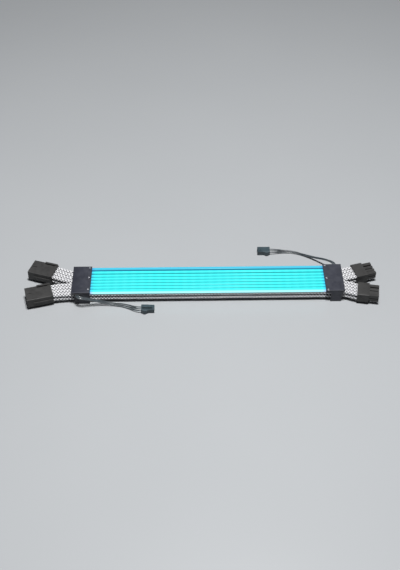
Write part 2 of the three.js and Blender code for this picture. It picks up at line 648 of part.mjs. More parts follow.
// A rocking latch on top of the socket: press the rear end down and the hook lifts.
function dataLatch() {
  const lever = centred([DATA_LATCH.rear, DATA_LATCH.front], DATA_LATCH.halfWidth,
    [DATA_LATCH.bottom, DATA_LATCH.top]);
  const hook = centred([DATA_LATCH.front - 1.1, DATA_LATCH.front], DATA_LATCH.halfWidth,
    [DATA_NOSE.top + 0.25, DATA_LATCH.bottom + 0.3]);
  const ribs = [0.9, 2.1].map((x) =>
    centred([x, x + 0.5], DATA_LATCH.halfWidth, [DATA_LATCH.top - 0.2, DATA_LATCH.top + 0.3]),
  );
  return union([lever, hook, ...ribs]);
}

for (const [name, place] of Object.entries(DATA_PLACES)) {
  const group = connectorGroup(place, 0);
  lead.add(group);
  if (name === "input") {
    dataParts.add(addPart(group, "input_socket_body", dataSocket(), MATERIALS.dataConnector));
    dataParts.add(addPart(group, "input_socket_latch", dataLatch(), MATERIALS.dataConnector));
  } else {
    dataParts.add(addPart(group, "output_plug_body", dataPlug(), MATERIALS.dataConnector));
  }
  for (let i = 0; i < DATA_CONTACTS; i += 1) {
    dataParts.add(addPart(lead, `${name}_wire_${i + 1}`, dataWire(name, i), MATERIALS.dataWire));
  }
}

// ---------------------------------------------------------------- origin

// Centre the assembly on everything but the data leads, standing on the floor.
const extent = new THREE.Box3();
lead.updateMatrixWorld(true);
lead.traverse((part) => {
  if (part.isMesh && !dataParts.has(part)) extent.expandByObject(part);
});
const middle = extent.getCenter(new THREE.Vector3());
for (const child of lead.children) {
  child.position.x -= middle.x;
  child.position.y -= middle.y;
}

export default lead;
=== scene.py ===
# %% [markdown]
# # A lit power extension cable, built around its CAD frame
#
# The object is a flat cable for a computer's graphics card. Sixteen white braided wires
# run in two layers from two shrouded receptacles on the left to two slotted plugs on the
# right. Eight frosted light guides glow over the wires, and two dark end blocks clamp
# everything together. A thin three-wire lead leaves each block for the light signal.
#
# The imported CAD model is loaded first. It fixes where each part is, and everything made
# here is put where the CAD says.

import json
import math
from contextlib import contextmanager

import bmesh
import bpy
import numpy as np
from mathutils import Matrix, Vector


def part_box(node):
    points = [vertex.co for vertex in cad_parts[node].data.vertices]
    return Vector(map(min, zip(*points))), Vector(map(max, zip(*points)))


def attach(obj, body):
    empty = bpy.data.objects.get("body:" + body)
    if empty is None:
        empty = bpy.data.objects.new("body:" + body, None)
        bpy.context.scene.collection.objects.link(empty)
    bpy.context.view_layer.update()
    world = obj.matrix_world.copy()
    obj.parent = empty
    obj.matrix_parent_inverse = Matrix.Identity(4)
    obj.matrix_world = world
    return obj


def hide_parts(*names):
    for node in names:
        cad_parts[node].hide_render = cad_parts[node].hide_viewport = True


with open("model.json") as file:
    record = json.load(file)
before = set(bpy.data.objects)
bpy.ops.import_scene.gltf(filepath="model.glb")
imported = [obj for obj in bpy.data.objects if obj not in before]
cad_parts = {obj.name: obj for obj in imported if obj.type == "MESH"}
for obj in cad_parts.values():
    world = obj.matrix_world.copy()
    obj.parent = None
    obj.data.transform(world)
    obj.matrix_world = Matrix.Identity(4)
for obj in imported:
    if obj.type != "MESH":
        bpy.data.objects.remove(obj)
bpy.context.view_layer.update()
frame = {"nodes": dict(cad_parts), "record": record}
record = frame["record"]
mounts = {mount["name"]: mount for mount in record["mounts"]}

# %% [markdown]
# Blender's merge and bevel tools work best on sizes near one unit, and these parts have
# details of a tenth of a millimetre. So each piece is modelled with one unit as one
# millimetre, and is made a thousand times smaller when it is put in its place.

# %% Work in millimetres
MM = 0.001


def in_mm(point):
    """A place in metres, as millimetres."""
    return Vector(point) / MM


def node_box(name):
    """The low and high corners of a CAD node, in millimetres."""
    low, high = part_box(name)
    return in_mm(low), in_mm(high)


def node_middle(name, z):
    """The middle of a CAD node seen from above, at a given height, in millimetres."""
    low, high = node_box(name)
    return Vector(((low.x + high.x) / 2, (low.y + high.y) / 2, z))


# %% [markdown]
# The camera stands in front of the cable and looks down on it at about 43 degrees. It
# comes first, because the two free leads must lie inside its view.

# %% Camera
VIEW_POINT = Vector((-0.00185, 0.0035, 0.0))
VIEW_DISTANCE = 0.95
VIEW_ELEVATION = math.radians(43.5)
VIEW_TURN = math.radians(-0.85)
LENS = 60.9


def new_object(name, data):
    """Puts a camera, a lamp or a curve in the scene."""
    obj = bpy.data.objects.new(name, data)
    bpy.context.scene.collection.objects.link(obj)
    return obj


camera_data = bpy.data.cameras.new("camera")
camera_data.lens = LENS
camera_data.clip_start = 0.01
camera = new_object("camera", camera_data)
away = Vector((
    math.sin(VIEW_TURN) * math.cos(VIEW_ELEVATION),
    -math.cos(VIEW_TURN) * math.cos(VIEW_ELEVATION),
    math.sin(VIEW_ELEVATION),
))
camera.location = VIEW_POINT + away * VIEW_DISTANCE
camera.rotation_euler = away.to_track_quat("Z", "Y").to_euler()
bpy.context.scene.camera = camera
print("camera at", [round(v, 3) for v in camera.location])

# %% [markdown]
# A Blender operator acts on whatever is selected, and the loaded CAD nodes start out
# selected. `take` makes one object the only selected one. Each other helper is one thing
# that a modeller does by hand: add a block, cut with another, join, round the edges.

# %% Modelling helpers
def take(obj):
    """Selects one object alone and makes it the active one."""
    bpy.ops.object.select_all(action="DESELECT")
    obj.select_set(True)
    bpy.context.view_layer.objects.active = obj


@contextmanager
def editing(obj):
    """Opens one object in edit mode for a few steps, with all of it selected."""
    take(obj)
    bpy.ops.object.mode_set(mode="EDIT")
    bpy.ops.mesh.select_all(action="SELECT")
    yield
    bpy.ops.object.mode_set(mode="OBJECT")


def finish_modifier(obj, kind, **settings):
    """Adds a modifier, sets it, and applies it."""
    take(obj)
    modifier = obj.modifiers.new(kind.lower(), kind)
    for key, value in settings.items():
        setattr(modifier, key, value)
    bpy.ops.object.modifier_apply(modifier=modifier.name)


def basic_shape(name, add_shape, **settings):
    """Adds one of Blender's basic shapes and names it."""
    bpy.ops.object.select_all(action="DESELECT")
    add_shape(**settings)
    obj = bpy.context.active_object
    obj.name = obj.data.name = name
    return obj


def repeat(obj, count, step, **settings):
    """Repeats an object along X with an Array modifier."""
    finish_modifier(
        obj, "ARRAY", count=count, use_relative_offset=False, use_constant_offset=True,
        constant_offset_displace=(step, 0, 0), **settings,
    )


def block(name, x, y, z):
    """A box between two values on each axis, in millimetres."""
    centre = [(a + b) / 2 for a, b in (x, y, z)]
    obj = basic_shape(name, bpy.ops.mesh.primitive_cube_add, size=1, location=centre)
    obj.scale = [b - a for a, b in (x, y, z)]
    bpy.ops.object.transform_apply(location=True, rotation=True, scale=True)
    return obj


def square_on(name, x, y, z, size):
    """A box along X with a square section centred on a contact."""
    half = size / 2
    return block(name, x, (y - half, y + half), (z - half, z + half))


def rod(name, start, end, radius, tip=None, sides=24):
    """A round rod, or a cone where tip is given, from one point to another."""
    start, end = Vector(start), Vector(end)
    obj = basic_shape(
        name,
        bpy.ops.mesh.primitive_cone_add,
        vertices=sides,
        radius1=radius,
        radius2=radius if tip is None else tip,
        depth=(end - start).length,
        location=(start + end) / 2,
        rotation=(end - start).to_track_quat("Z", "Y").to_euler(),
    )
    bpy.ops.object.transform_apply(location=True, rotation=True, scale=True)
    return obj


def joined(objs):
    """Several separate solids as one object."""
    bpy.ops.object.select_all(action="DESELECT")
    for obj in objs:
        obj.select_set(True)
    bpy.context.view_layer.objects.active = objs[0]
    if len(objs) > 1:
        bpy.ops.object.join()
    return objs[0]


def combine(obj, tools, operation):
    """Joins or cuts with tools, and takes the tools away."""
    tool = joined(tools)
    finish_modifier(obj, "BOOLEAN", object=tool, operation=operation, solver="EXACT")
    bpy.data.objects.remove(tool)


def add(obj, *tools):
    for tool in tools:
        combine(obj, [tool], "UNION")


def cut(obj, *tools):
    combine(obj, list(tools), "DIFFERENCE")


SAME_SPOT = 0.001  # points closer than this are one point
FLAT = math.radians(0.5)  # faces that meet at less than this are one face
SMOOTH_BELOW = math.radians(40)  # edges flatter than this are shaded smooth


def clean(obj):
    """Merges points on one spot and makes flat regions single faces."""
    with editing(obj):
        bpy.ops.mesh.remove_doubles(threshold=SAME_SPOT)
        bpy.ops.mesh.dissolve_limited(angle_limit=FLAT)


def round_edges(obj, width, segments=2, sharper_than=30):
    """Rounds each edge that is sharper than an angle, as a mould does."""
    clean(obj)
    finish_modifier(
        obj, "BEVEL", width=width, segments=segments, limit_method="ANGLE",
        angle_limit=math.radians(sharper_than), use_clamp_overlap=True,
        miter_outer="MITER_ARC", loop_slide=False,
    )
    take(obj)
    bpy.ops.object.shade_smooth_by_angle(angle=SMOOTH_BELOW)
    finish_modifier(obj, "WEIGHTED_NORMAL", keep_sharp=True, weight=100)


def select_faces(obj, test):
    """In edit mode, selects the faces that pass a test."""
    bpy.ops.mesh.select_mode(type="FACE")
    bpy.ops.mesh.select_all(action="DESELECT")
    mesh = bmesh.from_edit_mesh(obj.data)
    for face in mesh.faces:
        face.select_set(test(face))
    bmesh.update_edit_mesh(obj.data)


def select_edges(obj, test):
    """In edit mode, selects the edges whose middle and direction pass a test."""
    bpy.ops.mesh.select_mode(type="EDGE")
    bpy.ops.mesh.select_all(action="DESELECT")
    mesh = bmesh.from_edit_mesh(obj.data)
    for edge in mesh.edges:
        first, second = (vert.co for vert in edge.verts)
        edge.select_set(test((first + second) / 2, (second - first).normalized()))
    bmesh.update_edit_mesh(obj.data)


# %% [markdown]
# A finished piece gets its place in its mesh, and its object stays at the origin. It
# then needs a finish and the body that it moves with.
# `settle` does all of that, and `again` makes another copy with a mesh of its own.

# %% Putting a piece in its place
TO_METRES = Matrix.Scale(MM, 4)


def settle(obj, name, place, material, body="cable", replaces=()):
    """Puts a finished piece in the frame and says what it belongs to."""
    obj.name = obj.data.name = name
    obj.data.transform(place)
    obj.data.update()
    obj.data.materials.clear()
    obj.data.materials.append(material)
    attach(obj, body)
    if replaces:
        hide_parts(*replaces)
    return obj


def again(obj):
    """A copy of an object with its own mesh."""
    copy = obj.copy()
    copy.data = obj.data.copy()
    bpy.context.scene.collection.objects.link(copy)
    return copy


def done_with(obj):
    bpy.data.objects.remove(obj)


# %% [markdown]
# Materials are built from nodes. A `Recipe` starts one, and its helpers add a node, set
# its values and link its inputs, so that each material below reads as a list of steps.
# Values that are the same all over go straight on the shader.

# %% Material helper
class Recipe:
    def __init__(self, name, color, roughness, metallic=0.0):
        self.material = bpy.data.materials.new(name)
        self.material.use_nodes = True
        self.tree = self.material.node_tree
        self.shader = self.tree.nodes["Principled BSDF"]
        values = {"Base Color": (*color, 1), "Roughness": roughness, "Metallic": metallic}
        for socket, value in values.items():
            self.shader.inputs[socket].default_value = value

    def node(self, kind, inputs=None, **settings):
        """Adds a node. Inputs are values, or outputs of other nodes."""
        node = self.tree.nodes.new("ShaderNode" + kind)
        for key, value in settings.items():
            setattr(node, key, value)
        for socket, value in (inputs or {}).items():
            if isinstance(value, bpy.types.NodeSocket):
                self.tree.links.new(value, node.inputs[socket])
            else:
                node.inputs[socket].default_value = value
        return node

    def math(self, operation, first, second=0.0):
        return self.node("Math", {0: first, 1: second}, operation=operation).outputs[0]

    def place(self):
        return self.node("TexCoord").outputs["Object"]

    def noise(self, scale, detail=3.0, where=None, roughness=0.5):
        inputs = {"Vector": where or self.place(), "Scale": scale, "Detail": detail}
        inputs["Roughness"] = roughness
        return self.node("TexNoise", inputs).outputs["Fac"]

    def spread(self, value, low, high, to_low=0.0, to_high=1.0):
        """Maps a value from one range to another."""
        inputs = {"Value": value, "From Min": low, "From Max": high}
        inputs.update({"To Min": to_low, "To Max": to_high})
        return self.node("MapRange", inputs).outputs["Result"]

    def blend(self, share, first, second):
        """A mix of two colours."""
        inputs = {"Factor": share}
        for socket, value in ((6, first), (7, second)):
            inputs[socket] = (*value, 1) if isinstance(value, tuple) else value
        return self.node("Mix", inputs, data_type="RGBA").outputs[2]

    def bump(self, height, distance, strength):
        inputs = {"Height": height, "Distance": distance, "Strength": strength}
        return self.node("Bump", inputs).outputs["Normal"]

    def use(self, **links):
        """Links outputs to the shader: color, roughness, normal, emission."""
        names = {"color": "Base Color", "roughness": "Roughness", "normal": "Normal",
                 "emission": "Emission Color"}
        for key, output in links.items():
            self.tree.links.new(output, self.shader.inputs[names[key]])
        return self.material


# %% [markdown]
# ## Moulded plastic
# The housings and the end blocks are injection-moulded. Such a surface is never quite
# even: the tool leaves a fine spark-eroded grain, handling polishes it in patches, and
# the pigment varies a little. One recipe makes all three of those at scales given in
# grains per metre, and each part has its own colours.

# %% Moulded plastic
def moulded_plastic(name, dark, pale, roughness, grain=2600.0):
    """A grained plastic whose colour drifts between two close shades."""
    recipe = Recipe(name, dark, roughness)
    drift = recipe.noise(90.0, 4.0)
    patch = recipe.noise(320.0, 5.0)
    fine = recipe.noise(grain, 2.0)
    share = recipe.spread(drift, 0.35, 0.68)
    color = recipe.blend(share, dark, pale)
    scuffs = recipe.spread(recipe.noise(700.0, 6.0, roughness=0.75), 0.64, 0.78, 0.0, 0.35)
    color = recipe.blend(scuffs, color, tuple(min(1.0, 2.1 * v) for v in pale))
    gloss = recipe.spread(patch, 0.3, 0.7, roughness - 0.08, roughness + 0.12)
    return recipe.use(color=color, roughness=gloss, normal=recipe.bump(fine, 0.00004, 0.55))


HOUSING_PLASTIC = moulded_plastic(
    "housing_nylon", (0.0155, 0.0152, 0.015), (0.0245, 0.024, 0.0235), 0.55
)
SHELL_PLASTIC = moulded_plastic(
    "end_block_plastic", (0.0165, 0.018, 0.0265), (0.024, 0.026, 0.0365), 0.5, 3400.0
)
SIGNAL_PLASTIC = moulded_plastic(
    "signal_connector_nylon", (0.022, 0.036, 0.044), (0.036, 0.055, 0.066), 0.4
)
print("plastics:", [m.name for m in (HOUSING_PLASTIC, SHELL_PLASTIC, SIGNAL_PLASTIC)])

# %% [markdown]
# ## Rubber, insulation, board and metals
# The grommets are soft and dull. The signal wires' insulation is extruded, so it has
# faint lines along it and a soft shine. The boards are white solder mask over a weave of
# glass. The screws are zinc plated, and the contacts are tin over brass, both with fine
# brushed scratches.

# %% Small materials
def soft_rubber():
    recipe = Recipe("grommet_rubber", (0.014, 0.014, 0.015), 0.8)
    fine = recipe.noise(3000.0, 3.0)
    gloss = recipe.spread(recipe.noise(500.0), 0.3, 0.7, 0.72, 0.9)
    return recipe.use(roughness=gloss, normal=recipe.bump(fine, 0.00005, 0.6))


def wire_insulation():
    recipe = Recipe("signal_wire_insulation", (0.04, 0.05, 0.058), 0.34)
    recipe.shader.inputs["Coat Weight"].default_value = 0.25
    drift = recipe.spread(recipe.noise(420.0, 4.0), 0.35, 0.65)
    color = recipe.blend(drift, (0.03, 0.038, 0.045), (0.06, 0.072, 0.08))
    gloss = recipe.spread(recipe.noise(900.0, 3.0), 0.3, 0.7, 0.26, 0.44)
    lines = recipe.bump(recipe.noise(5200.0), 0.00002, 0.4)
    return recipe.use(color=color, roughness=gloss, normal=lines)


def white_board():
    recipe = Recipe("white_solder_mask", (0.75, 0.77, 0.75), 0.42)
    inputs = {"Vector": recipe.place(), "Scale": 900.0, "Distortion": 0.6}
    weave = recipe.node("TexWave", inputs, bands_direction="Y").outputs["Fac"]
    color = recipe.blend(recipe.noise(250.0), (0.7, 0.73, 0.7), (0.83, 0.84, 0.82))
    return recipe.use(color=color, normal=recipe.bump(weave, 0.00002, 0.3))


def brushed_metal(name, dull, bright, roughness):
    recipe = Recipe(name, bright, roughness, 1.0)
    stretched = recipe.node(
        "Mapping", {"Vector": recipe.place(), "Scale": (0.12, 1.0, 1.0)}
    ).outputs["Vector"]
    scratches = recipe.noise(9000.0, 4.0, stretched)
    color = recipe.blend(recipe.spread(recipe.noise(700.0), 0.35, 0.7), dull, bright)
    gloss = recipe.spread(scratches, 0.3, 0.7, roughness - 0.06, roughness + 0.14)
    return recipe.use(color=color, roughness=gloss, normal=recipe.bump(scratches, 0.00001, 0.4))


RUBBER = soft_rubber()
INSULATION = wire_insulation()
SOLDER_MASK = white_board()
ZINC = brushed_metal("zinc_plate", (0.32, 0.33, 0.36), (0.54, 0.55, 0.58), 0.4)
TIN = brushed_metal("tin_plated_contact", (0.52, 0.47, 0.38), (0.72, 0.68, 0.6), 0.3)
print("small materials:", [m.name for m in (RUBBER, INSULATION, SOLDER_MASK, ZINC, TIN)])

# %% [markdown]
# ## The glow
# A light guide is milky silicone over a row of small lamps. It shines cyan, a little
# brighter over each lamp and fully along its crown. Down its sides the glow is turned
# down as painted shade between neighbouring bars, so that the bars read as separate. The
# front bar's outer side has no neighbour and shines fully. The rearmost bar's lamps shine
# bluer, and so do all bars where they enter the blocks. The pattern runs on Object
# coordinates, which are the CAD's own metres, so each bright spot sits over its lamp.

# %% Glowing silicone
LAMP_PITCH = 0.0083
CROWN_START, CROWN_FULL = 0.0136, 0.0144  # heights where the sides turn into the crown
REAR_BAR = 0.0104  # only the rearmost bar lies further back than this
FRONT_FACE = -0.0190  # only the front bar's open side lies further forward
END_FADE = 0.0038  # from each block, where the light is weaker and bluer
LEFT_END, RIGHT_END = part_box("left_block_lid")[1][0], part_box("right_block_lid")[0][0]


def glowing_silicone():
    recipe = Recipe("glowing_silicone", (0.01, 0.09, 0.1), 0.36)
    recipe.shader.inputs["Emission Strength"].default_value = 1.0
    recipe.shader.inputs["Specular IOR Level"].default_value = 0.25
    where = recipe.node("SeparateXYZ", {0: recipe.place()}).outputs
    wave = recipe.math("COSINE", recipe.math("MULTIPLY", where["X"], 2 * math.pi / LAMP_PITCH))
    even = recipe.math("MULTIPLY", recipe.spread(wave, -1.0, 1.0), 0.5)
    lamp = recipe.math("ADD", even, recipe.math("MULTIPLY", recipe.noise(35.0, 4.0), 0.5))
    # Painted shade: below the crown the glow dims down each bar's sides, where neighbouring
    # bars would shade them.
    unshaded_crown = recipe.spread(where["Z"], CROWN_START, CROWN_FULL)
    bright = recipe.blend(lamp, (0.04, 0.9, 0.92), (0.07, 1.03, 1.03))
    open_side = recipe.spread(where["Y"], FRONT_FACE, FRONT_FACE - 0.0004)
    # The dim side colour is painted shade. The front bar's open face keeps the full, paler
    # glow.
    side = recipe.blend(open_side, (0.008, 0.2, 0.23), (0.46, 1.05, 1.1))
    front = recipe.blend(unshaded_crown, side, bright)
    bluer = recipe.blend(unshaded_crown, (0.01, 0.13, 0.24), (0.07, 0.5, 0.74))
    rear = recipe.spread(where["Y"], REAR_BAR - 0.0002, REAR_BAR)
    glow = recipe.blend(rear, front, bluer)
    from_left = recipe.spread(where["X"], LEFT_END, LEFT_END + END_FADE)
    from_right = recipe.spread(where["X"], RIGHT_END, RIGHT_END - END_FADE)
    inner = recipe.math("MULTIPLY", from_left, from_right)
    tint = recipe.blend(inner, (1, 0.55, 0.86), (1, 1, 1))
    glow = recipe.node("VectorMath", {0: glow, 1: tint}, operation="MULTIPLY").outputs[0]
    cloud = recipe.spread(recipe.noise(600.0, 3.0), 0.3, 0.7, 0.3, 0.44)
    milk = recipe.bump(recipe.noise(1800.0, 2.0), 0.00003, 0.4)
    return recipe.use(emission=glow, roughness=cloud, normal=milk)


GLOW = glowing_silicone()

# %% [markdown]
# ## Braid
# Each wire wears a braided sleeve: bundles of fine white fibres wind around it both
# ways and pass over and under each other. Seen closely it is a skin of small diamonds.
# The diamonds' relief is in the mesh, made further down. The material adds what is too
# fine for a mesh: the fibres within a bundle, which follow the bundle that is on top. It
# also paints shade into the colour: grey along the bundles' edges and near black in the
# hollows between bundles. It works from the sleeve's UV map, where U counts braid periods
# along the wire and V counts once around it.

# %% White braid
BUNDLES = 3  # bundles that wind each way
BRAID_PERIOD = 3.1  # mm along the wire from one diamond to the next in line
FIBRES = 12  # fibres seen across one bundle


def white_braid():
    recipe = Recipe("white_braid", (0.92, 0.92, 0.94), 0.6)
    recipe.shader.inputs["Sheen Weight"].default_value = 0.25
    recipe.shader.inputs["Sheen Roughness"].default_value = 0.4
    uv_map = recipe.node("UVMap", uv_map="braid").outputs[0]
    uv = recipe.node("SeparateXYZ", {0: uv_map}).outputs
    around = recipe.math("MULTIPLY", uv["Y"], BUNDLES)
    right = recipe.math("ADD", uv["X"], around)
    left = recipe.math("SUBTRACT", uv["X"], around)
    steps = recipe.math("ADD", recipe.math("FLOOR", right), recipe.math("FLOOR", left))
    on_top = recipe.math("FLOORED_MODULO", steps, 2.0)
    in_right = recipe.math("FRACT", right)
    in_left = recipe.math("FRACT", left)
    across = recipe.node("Mix", {"Factor": on_top, "A": in_right, "B": in_left}).outputs[0]
    fibre = recipe.math("SINE", recipe.math("MULTIPLY", across, 2 * math.pi * FIBRES))
    rise_right = recipe.math("SINE", recipe.math("MULTIPLY", in_right, math.pi))
    rise_left = recipe.math("SINE", recipe.math("MULTIPLY", in_left, math.pi))
    # Painted shade: the colour turns near black in the hollows between bundles and grey along
    # the bundles' edges.
    hole = recipe.spread(recipe.math("ADD", rise_right, rise_left), 0.55, 1.25)
    edge = recipe.spread(recipe.math("MULTIPLY", rise_right, rise_left), 0.0, 0.5)
    lit = recipe.blend(recipe.spread(fibre, -1.0, 1.0), (0.72, 0.72, 0.74), (0.98, 0.98, 1.0))
    weave = recipe.blend(edge, (0.2, 0.2, 0.22), lit)
    color = recipe.blend(hole, (0.02, 0.02, 0.025), weave)
    return recipe.use(color=color, normal=recipe.bump(fibre, 0.00012, 0.8))


BRAID = white_braid()
print("braid:", BUNDLES, "bundles each way,", BRAID_PERIOD, "mm period")

# %% [markdown]
# ## The free signal leads
# A lead is three thin wires that leave a block's grommet side by side, fall to the table
# and spread to the pitch of their connector. Each wire is a cord: one open curve with a
# round section. Its route repeats the CAD's own points, so that the cord lies where its
# solid does. The curve runs smoothly through the points with the centripetal rule, which
# never loops or overshoots.

# %% Lead routes, in millimetres from the middle of the end blocks
LEAD_ROUTES = {
    "input": [
        (-125.4, -16.6, 12.3), (-125.4, -18.4, 12.3), (-125.4, -20.0, 12.3),
        (-124.4, -21.9, 12.1), (-122.0, -22.8, 11.6), (-118.8, -22.6, 10.7),
        (-114.6, -22.0, 9.2), (-109.6, -21.2, 7.1), (-104.4, -20.6, 5.0),
        (-99.2, -20.3, 3.1), (-93.8, -20.4, 1.6), (-88.4, -20.8, 0.75),
        (-83.0, -21.7, 0.6), (-77.8, -23.5, 0.65), (-72.8, -26.0, 1.3),
        (-68.6, -28.2, 2.2), (-65.6, -29.0, 2.6), (-62.6, -29.0, 2.6),
    ],
    "output": [
        (125.4, 16.6, 12.3), (125.4, 18.4, 12.3), (125.4, 20.4, 12.3),
        (124.6, 23.4, 11.9), (122.6, 26.8, 10.9), (119.4, 30.4, 9.3),
        (115.6, 34.2, 7.3), (111.2, 38.2, 5.0), (106.4, 42.2, 3.0),
        (101.2, 46.0, 1.6), (95.6, 49.4, 0.75), (89.6, 52.0, 0.6),
        (83.4, 53.4, 0.6), (77.4, 53.8, 0.7), (72.2, 53.4, 1.5),
        (68.4, 53.0, 2.3), (65.6, 52.8, 2.6), (62.6, 52.8, 2.6),
    ],
}
LEAD_HEADING = {"input": 1, "output": -1}
EXIT_GAP, CONNECTOR_GAP = 1.3, 2.5  # between neighbouring wires at each end
BUNDLED = {"input": 0, "output": 1}  # the rear lead's wires are tied into a round bundle
BUNDLE_GAP, BUNDLE_LIFT = 0.55, 0.95
SIGNAL_WIRE = 1.0  # diameter over the insulation

left_low, left_high = node_box("left_block_lid")
right_low, right_high = node_box("right_block_lid")
MIDDLE = (left_low + left_high + right_low + right_high) / 4
MIDDLE.z = 0
print("middle of the end blocks, mm:", [round(v, 3) for v in MIDDLE])


def smoothstep(value, low, high):
    t = min(max((value - low) / (high - low), 0), 1)
    return t * t * (3 - 2 * t)


def spread_route(lead, wire):
    """The points of one of a lead's three wires."""
    points = [Vector(point) for point in LEAD_ROUTES[lead]]
    last = len(points) - 1
    route = []
    for k, point in enumerate(points):
        along = points[min(k + 1, last)] - points[max(k - 1, 0)]
        side = Vector((-along.y, along.x, 0)).normalized()
        tied = BUNDLED[lead] * smoothstep(k, 2, 6) * (1 - smoothstep(k, 10, 15))
        gap = EXIT_GAP + (BUNDLE_GAP - EXIT_GAP) * tied
        gap += (CONNECTOR_GAP - gap) * smoothstep(k, 7, last - 1)
        lift = BUNDLE_LIFT * tied if wire == 0 else 0
        sideways = side * LEAD_HEADING[lead] * wire * gap
        route.append(point + sideways + Vector((0, 0, lift)) + MIDDLE)
    return route


def smooth_through(points, steps):
    """Points on the centripetal Catmull-Rom curve through the given ones."""
    ends = [2 * points[0] - points[1], *points, 2 * points[-1] - points[-2]]
    result = []
    for p0, p1, p2, p3 in zip(ends, ends[1:], ends[2:], ends[3:]):
        knots = [0.0]
        for a, b in ((p0, p1), (p1, p2), (p2, p3)):
            knots.append(knots[-1] + max((b - a).length, 1e-6) ** 0.5)
        t0, t1, t2, t3 = knots
        for i in range(steps):
            t = t1 + (t2 - t1) * i / steps
            a1 = p0.lerp(p1, (t - t0) / (t1 - t0))
            a2 = p1.lerp(p2, (t - t1) / (t2 - t1))
            a3 = p2.lerp(p3, (t - t2) / (t3 - t2))
            b1 = a1.lerp(a2, (t - t0) / (t2 - t0))
            b2 = a2.lerp(a3, (t - t1) / (t3 - t1))
            result.append(b1.lerp(b2, (t - t1) / (t2 - t1)))
    return result + [points[-1].copy()]


# %% [markdown]
# The curve is given a round section by its own bevel, so it stays a clean cord that
# could still be re-routed by moving its points.

# %% Lay the leads
for lead in LEAD_ROUTES:
    for wire in (-1, 0, 1):
        points = smooth_through(spread_route(lead, wire), 2)
        curve = bpy.data.curves.new(f"{lead}_signal_wire_{wire + 2}", "CURVE")
        curve.dimensions = "3D"
        curve.bevel_depth = SIGNAL_WIRE / 2 * MM
        curve.bevel_resolution = 4
        curve.use_fill_caps = True
        spline = curve.splines.new("POLY")
        spline.points.add(len(points) - 1)
        for target, point in zip(spline.points, points):
            target.co = (*(point * MM), 1)
        spline.use_smooth = True
        cord = new_object(curve.name, curve)
        curve.materials.append(INSULATION)
        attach(cord, "cable")
        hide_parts(f"{lead}_wire_{wire + 2}")
        run = sum((b - a).length for a, b in zip(points, points[1:]))
        print(cord.name, "centre line", round(run, 1), "mm,", len(points), "points")


# %% [markdown]
# ## Braided sleeves
# A sleeve is one period of the braid, repeated. A ring of points is extruded nine times
# along X to make one period, and each point is moved in or out by the over-and-under
# pattern of the bundles. An Array modifier repeats the period for the wire's length, and
# a Curve modifier lays the straight sleeve along the wire's route.

# %% One period of the braid
SLEEVE_RADIUS = 2.0
RELIEF = 0.55  # depth from a bundle's crown to the hollow beside it
RING_POINTS = 30
RINGS = 9


def braid_height(u, v):
    """How far the braid stands out, from 0 to 1, at a place on the sleeve."""
    right = u + BUNDLES * v
    left = u - BUNDLES * v
    on_top, under = right, left
    if (math.floor(right + 1e-6) + math.floor(left + 1e-6)) % 2:
        on_top, under = left, right
    across = math.sin(math.pi * (on_top % 1))
    along = math.sin(math.pi * (under % 1))
    return abs(across) ** 0.5 * abs(along) ** 0.5


def braid_period():
    tile = basic_shape(
        "braid_period", bpy.ops.mesh.primitive_circle_add,
        vertices=RING_POINTS, radius=SLEEVE_RADIUS, rotation=(0, math.pi / 2, 0),
    )
    bpy.ops.object.transform_apply(location=True, rotation=True, scale=True)
    with editing(tile):
        for _ in range(RINGS):
            bpy.ops.mesh.extrude_region_move(
                TRANSFORM_OT_translate={"value": (BRAID_PERIOD / RINGS, 0, 0)}
            )
        bpy.ops.mesh.select_all(action="SELECT")
        bpy.ops.mesh.normals_make_consistent(inside=False)
    mesh = tile.data
    places = []
    for vert in mesh.vertices:
        u = vert.co.x / BRAID_PERIOD
        v = (math.atan2(vert.co.z, vert.co.y) / (2 * math.pi)) % 1
        places.append((u, 0.0 if v > 1 - 1e-4 else v))
        pressed_in = 1 - (1 - braid_height(u, places[-1][1])) * RELIEF / SLEEVE_RADIUS
        vert.co.y *= pressed_in
        vert.co.z *= pressed_in
    layer = mesh.uv_layers.new(name="braid")
    for face in mesh.polygons:
        across_seam = max(places[v][1] for v in face.vertices) > 0.75
        for loop in face.loop_indices:
            u, v = places[mesh.loops[loop].vertex_index]
            layer.data[loop].uv = (u, v + 1 if across_seam and v < 0.25 else v)
    return tile


tile = braid_period()
print("one braid period:", len(tile.data.vertices), "points,", len(tile.data.polygons), "faces")

# %% [markdown]
# A wire's route is a Bezier curve. It starts inside the receptacle, leaves it straight,
# bends to its row in the left block, runs level through both blocks, and does the same
# again to the plug. Each connector's place comes from its mating face in the record.

# %% Where the connectors are
CONTACT_PITCH = 4.2
WIRE_PITCH = 4.35
RECEPTACLE_LENGTH, PLUG_LENGTH = 25.2, 20.5
MATING_FACE = {"receptacle": (RECEPTACLE_LENGTH, 0, 0), "plug": (PLUG_LENGTH, 3.35, 2.1)}
CONNECTORS = ("front_receptacle", "rear_receptacle", "front_plug", "rear_plug")


def connector_place(name):
    """Puts a connector modelled in millimetres, from its rear face, where the CAD has it."""
    mount = mounts[name + "_mating_face"]
    turn = Matrix.Rotation(math.atan2(mount["axis"][1], mount["axis"][0]), 4, "Z")
    face = in_mm(mount["pos_m"]) - turn @ Vector(MATING_FACE[name.split("_")[1]])
    return Matrix.Translation(face) @ turn


PLACES = {name: connector_place(name) for name in CONNECTORS}
for name, place in PLACES.items():
    print(name, "rear face at", [round(v, 2) for v in place.translation], "mm")


def contact_y(name, column):
    """A column's Y inside its connector, whichever way the connector points."""
    return math.copysign(CONTACT_PITCH, PLACES[name][0][0]) * (column % 4 - 1.5)


# %% [markdown]
# The two layers lie at their own heights in the blocks. A bend's handles reach a share of
# its length, so that all sixteen wires fan out in the same gentle way.

